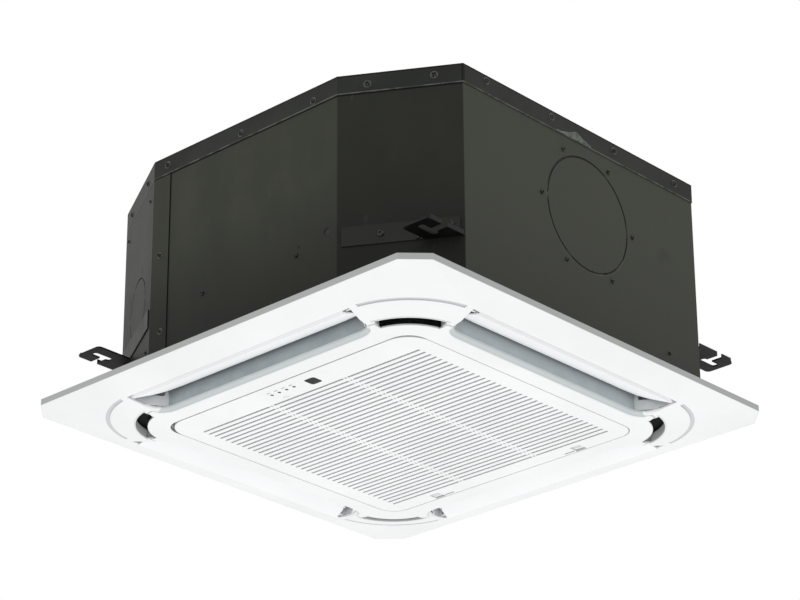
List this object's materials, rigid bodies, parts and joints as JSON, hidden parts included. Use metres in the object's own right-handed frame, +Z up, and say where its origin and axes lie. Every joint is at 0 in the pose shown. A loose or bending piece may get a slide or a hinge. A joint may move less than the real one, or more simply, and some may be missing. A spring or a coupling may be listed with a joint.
{
  "type": "ceiling cassette air conditioner",
  "caption": "Square ceiling air conditioner: dark eight-sided casing with hanger brackets over a white facia panel with slatted intake and swinging louvres on every side.",
  "frame": {"origin": "middle of the ceiling plane, level with the facia panel's upper edge", "axes": "+Z up, -Y towards the edge with the display and the hinges, +X towards the wall with the large round knock-out"},
  "size_m": [0.95, 0.95, 0.4694],
  "materials": {
    "casing": "satin",
    "bracket": "satin",
    "panel": "satin",
    "duct": "matte",
    "foam": "matte",
    "styrene": "matte",
    "fan": "matte",
    "zinc": "satin",
    "motor": "satin",
    "rubber": "matte",
    "fin_pack": "satin",
    "copper": "satin",
    "brass": "satin",
    "plastic": "matte",
    "board": "matte",
    "lens": "gloss",
    "filter": "matte"
  },
  "bodies": {
    "body": {"casing_wall": "casing", "casing_top": "casing", "corner_cover": "casing", "pipe_plate": "casing", "foam_liner": "foam", "hanger_near": "bracket", "hanger_pipe": "bracket", "hanger_right": "bracket", "hanger_far": "bracket", "motor_plate": "zinc", "rubber_mount_1": "rubber", "rubber_mount_2": "rubber", "rubber_mount_3": "rubber", "fan_motor": "motor", "bell_mouth": "plastic", "heat_exchanger": "fin_pack", "bend_end_plate": "copper", "pipe_end_plate": "zinc", "gas_pipe": "copper", "liquid_pipe": "copper", "gas_flare_nut": "brass", "liquid_flare_nut": "brass", "drain_pan": "styrene", "drain_pump": "motor", "drain_hose": "rubber", "drain_port": "plastic", "float_stem": "plastic", "control_box": "zinc", "control_box_cover": "zinc", "terminal_block": "plastic", "body_gasket": "foam", "panel_frame": "panel", "hinge_pin_left": "zinc", "hinge_pin_right": "zinc", "outlet_duct_display": "duct", "outlet_duct_knockout": "duct", "outlet_duct_latch": "duct", "outlet_duct_pipe": "duct", "louvre_motor_display": "plastic", "louvre_motor_knockout": "plastic", "louvre_motor_latch": "plastic", "louvre_motor_pipe": "plastic"},
    "fan": {"motor_shaft": "zinc", "turbo_fan": "fan", "fan_nut": "brass"},
    "louvre_display": {"louvre_display": "panel"},
    "louvre_knockout": {"louvre_knockout": "panel"},
    "louvre_latch": {"louvre_latch": "panel"},
    "louvre_pipe": {"louvre_pipe": "panel"},
    "grille": {"intake_grille": "panel", "air_filter": "filter", "display_board": "board", "receiver_window": "lens", "indicator_lenses": "lens"},
    "latch_left": {"grille_latch_left": "panel"},
    "latch_right": {"grille_latch_right": "panel"},
    "button": {"manual_button": "panel"},
    "float": {"float_ring": "plastic"}
  },
  "joints": [
    {"name": "fan_spin", "type": "hinge", "parent": "body", "child": "fan", "pos_m": [0, 0, 0.28], "axis": [0, 0, 1], "continuous": true},
    {"name": "louvre_display_tilt", "type": "hinge", "parent": "body", "child": "louvre_display", "pos_m": [0, -0.407, -0.0225], "axis": [1, 0, 0], "range_deg": [-32, 15]},
    {"name": "louvre_knockout_tilt", "type": "hinge", "parent": "body", "child": "louvre_knockout", "pos_m": [0.407, 0, -0.0225], "axis": [0, 1, 0], "range_deg": [-32, 15]},
    {"name": "louvre_latch_tilt", "type": "hinge", "parent": "body", "child": "louvre_latch", "pos_m": [0, 0.407, -0.0225], "axis": [-1, 0, 0], "range_deg": [-32, 15]},
    {"name": "louvre_pipe_tilt", "type": "hinge", "parent": "body", "child": "louvre_pipe", "pos_m": [-0.407, 0, -0.0225], "axis": [0, -1, 0], "range_deg": [-32, 15]},
    {"name": "grille_swing", "type": "hinge", "parent": "body", "child": "grille", "pos_m": [0, -0.2963, -0.037], "axis": [-1, 0, 0], "range_deg": [0, 85]},
    {"name": "latch_left_slide", "type": "slide", "parent": "grille", "child": "latch_left", "axis": [0, -1, 0], "range_m": [0, 0.006], "stiffness_N_per_m": 150, "springref_m": -0.002},
    {"name": "latch_right_slide", "type": "slide", "parent": "grille", "child": "latch_right", "axis": [0, -1, 0], "range_m": [0, 0.006], "stiffness_N_per_m": 150, "springref_m": -0.002},
    {"name": "button_press", "type": "slide", "parent": "grille", "child": "button", "axis": [0, 0, 1], "range_m": [0, 0.001], "stiffness_N_per_m": 300, "springref_m": -0.0005},
    {"name": "float_rise", "type": "slide", "parent": "body", "child": "float", "axis": [0, 0, 1], "range_m": [0, 0.012]}
  ]
}
